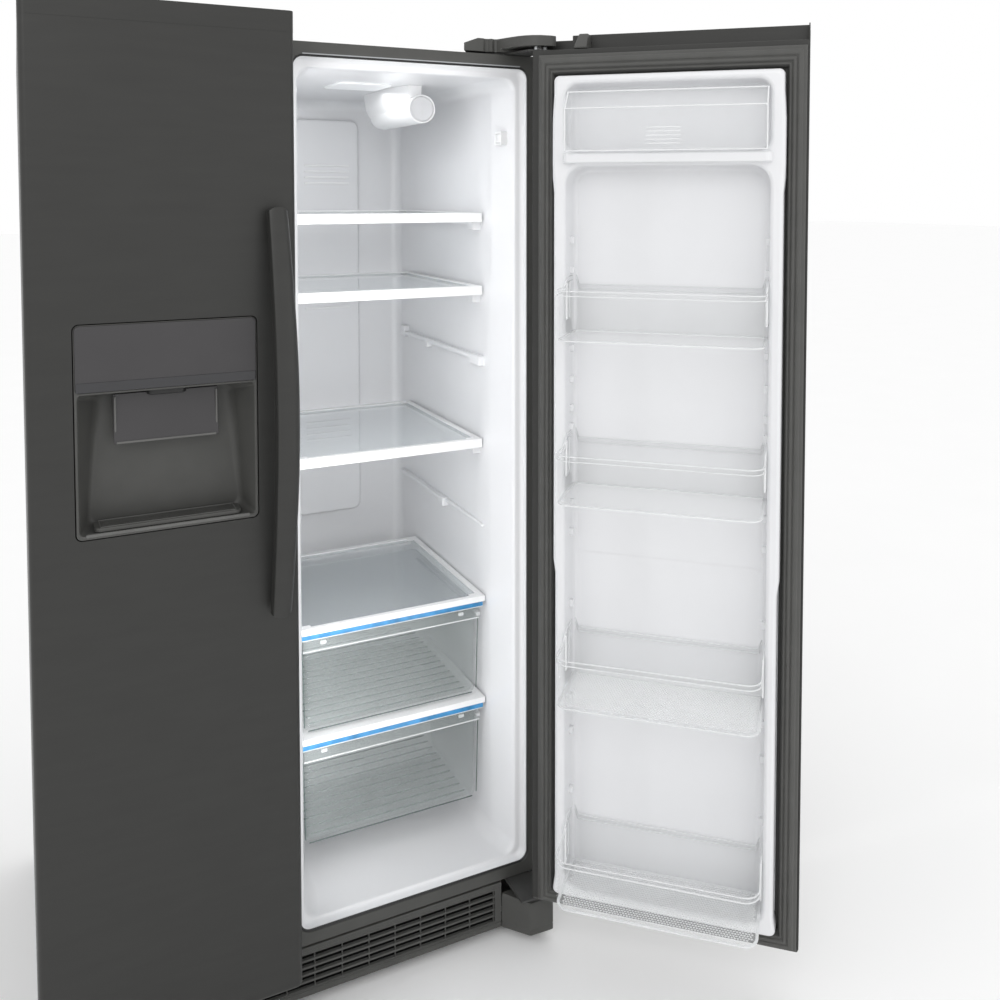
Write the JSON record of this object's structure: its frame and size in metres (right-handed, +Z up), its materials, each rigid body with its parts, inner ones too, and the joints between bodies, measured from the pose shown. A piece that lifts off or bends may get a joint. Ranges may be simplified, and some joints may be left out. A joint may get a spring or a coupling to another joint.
{
  "type": "side by side refrigerator",
  "caption": "Side by side refrigerator with hinged doors, ice and water recess, glass shelves, clear crisper drawers and door bins; fridge door stands open.",
  "frame": {"origin": "middle of the footprint on the floor, with the fridge door open at its stop", "axes": "+Z up, -Y out of the front, +X towards the fridge side"},
  "size_m": [1.3208, 1.1426, 1.777],
  "materials": {
    "black_stainless": "satin dark coated steel",
    "dark_trim": "satin moulded plastic",
    "gasket_rubber": "soft ribbed seal",
    "white_liner": "glossy vacuum-formed plastic",
    "white_trim": "glossy moulded plastic",
    "clear_plastic": "clear moulded plastic",
    "shelf_glass": "tempered glass",
    "zinc_steel": "galvanised sheet",
    "black_plastic": "moulded",
    "panel_gloss": "smooth panel",
    "black_enamel": "enamelled steel",
    "foam": "rigid foam"
  },
  "bodies": {
    "cabinet": {"back_panel": "zinc_steel", "base_chassis": "zinc_steel", "compressor": "black_enamel", "crisper_cover_glass": "shelf_glass", "crisper_cover_lower": "white_trim", "crisper_cover_upper": "white_trim", "evaporator_cover": "white_trim", "filter_housing": "white_trim", "foam_insulation": "foam", "foot_cover_left": "dark_trim", "foot_cover_right": "dark_trim", "freezer_basket": "clear_plastic", "freezer_liner": "white_liner", "freezer_shelf": "white_trim", "fridge_liner": "white_liner", "front_frame": "black_stainless", "hinge_bottom_left": "black_stainless", "hinge_bottom_right": "black_stainless", "hinge_cover_left": "dark_trim", "hinge_cover_right": "dark_trim", "hinge_top_left": "black_stainless", "hinge_top_right": "black_stainless", "ice_bin": "clear_plastic", "ice_maker": "white_trim", "levelling_leg_left": "black_plastic", "levelling_leg_right": "black_plastic", "machine_cover": "zinc_steel", "outer_case": "black_stainless", "shelf_frame_lower": "white_trim", "shelf_frame_middle": "white_trim", "shelf_frame_top": "white_trim", "shelf_glass_lower": "shelf_glass", "shelf_glass_middle": "shelf_glass", "shelf_glass_top": "shelf_glass", "toe_grille": "dark_trim"},
    "fridge_door": {"door_bin_1": "clear_plastic", "door_bin_2": "clear_plastic", "door_bin_3": "clear_plastic", "door_bin_4": "clear_plastic", "fridge_door_gasket": "gasket_rubber", "fridge_door_handle": "black_stainless", "fridge_door_liner": "white_liner", "fridge_door_shell": "black_stainless"},
    "freezer_door": {"control_panel": "panel_gloss", "dispenser_housing": "dark_trim", "drip_tray": "dark_trim", "freezer_door_bin": "clear_plastic", "freezer_door_gasket": "gasket_rubber", "freezer_door_handle": "black_stainless", "freezer_door_liner": "white_liner", "freezer_door_shell": "black_stainless"},
    "dairy_cover": {"dairy_cover": "clear_plastic"},
    "crisper_upper": {"crisper_drawer_upper": "clear_plastic"},
    "crisper_lower": {"crisper_drawer_lower": "clear_plastic"},
    "water_filter": {"water_filter": "white_trim"},
    "door_switch": {"door_switch": "white_trim"},
    "dispenser_paddle": {"dispenser_paddle": "black_plastic"},
    "condenser_fan": {"condenser_fan": "black_plastic"},
    "rear_roller_left": {"rear_roller_left": "black_plastic"},
    "rear_roller_right": {"rear_roller_right": "black_plastic"}
  },
  "joints": [
    {"name": "fridge_door_hinge", "type": "hinge", "parent": "cabinet", "child": "fridge_door", "pos_m": [0.2461, -0.17971, 0.9], "axis": [0, 0, 1], "range_deg": [-137, 0]},
    {"name": "freezer_door_hinge", "type": "hinge", "parent": "cabinet", "child": "freezer_door", "pos_m": [-0.6339, -0.17971, 0.9], "axis": [0, 0, -1], "range_deg": [0, 137]},
    {"name": "dairy_cover_hinge", "type": "hinge", "parent": "fridge_door", "child": "dairy_cover", "pos_m": [0.37415, -0.3921, 1.66], "axis": [-0.7314, 0.682, 0], "range_deg": [0, 75]},
    {"name": "crisper_upper_slide", "type": "slide", "parent": "cabinet", "child": "crisper_upper", "axis": [0, -1, 0], "range_m": [0, 0.28]},
    {"name": "crisper_lower_slide", "type": "slide", "parent": "cabinet", "child": "crisper_lower", "axis": [0, -1, 0], "range_m": [0, 0.24]},
    {"name": "water_filter_slide", "type": "slide", "parent": "cabinet", "child": "water_filter", "axis": [0, -1, 0], "range_m": [0, 0.18]},
    {"name": "door_switch_slide", "type": "slide", "parent": "cabinet", "child": "door_switch", "axis": [1, 0, 0], "range_m": [0, 0.0035], "stiffness_N_per_m": 300, "springref_m": -0.003},
    {"name": "dispenser_paddle_hinge", "type": "hinge", "parent": "freezer_door", "child": "dispenser_paddle", "pos_m": [-0.4439, -0.18171, 1.158], "axis": [1, 0, 0], "range_deg": [0, 10], "stiffness_Nm_per_rad": 0.4, "springref_deg": -5.73},
    {"name": "condenser_fan_spin", "type": "hinge", "parent": "cabinet", "child": "condenser_fan", "pos_m": [-0.1939, 0.45629, 0.15], "axis": [0, 1, 0], "continuous": true},
    {"name": "rear_roller_left_spin", "type": "hinge", "parent": "cabinet", "child": "rear_roller_left", "pos_m": [-0.5789, 0.51829, 0.02], "axis": [1, 0, 0], "continuous": true},
    {"name": "rear_roller_right_spin", "type": "hinge", "parent": "cabinet", "child": "rear_roller_right", "pos_m": [0.1911, 0.51829, 0.02], "axis": [1, 0, 0], "continuous": true}
  ]
}
